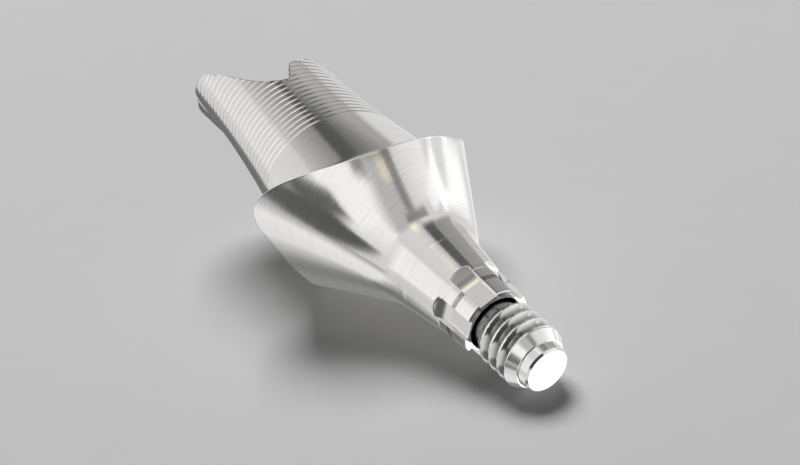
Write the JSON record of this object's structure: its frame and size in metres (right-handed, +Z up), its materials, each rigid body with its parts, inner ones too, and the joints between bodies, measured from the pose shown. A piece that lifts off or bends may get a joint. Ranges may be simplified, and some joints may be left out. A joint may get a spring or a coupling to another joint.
{
  "type": "dental abutment",
  "caption": "Custom milled implant abutment with a grooved leaning post, scalloped flared margin, lobed conical connection and its fixing screw, lying down.",
  "frame": {"origin": "middle of the part's box, on the surface it lies on", "axes": "+X along the part from the screw's tip towards the post, +Z up from the surface it lies on"},
  "size_m": [0.0146, 0.0066, 0.0059],
  "materials": {
    "milled_titanium": "brushed",
    "screw_titanium": "polished"
  },
  "bodies": {
    "abutment": {"abutment": "milled_titanium"},
    "screw": {"abutment_screw": "screw_titanium"}
  },
  "joints": [
    {"name": "screw_turn", "type": "hinge", "parent": "abutment", "child": "screw", "pos_m": [-0.00327, 0.00037, 0.00179], "axis": [0.9679, 0, 0.2512], "continuous": true}
  ]
}
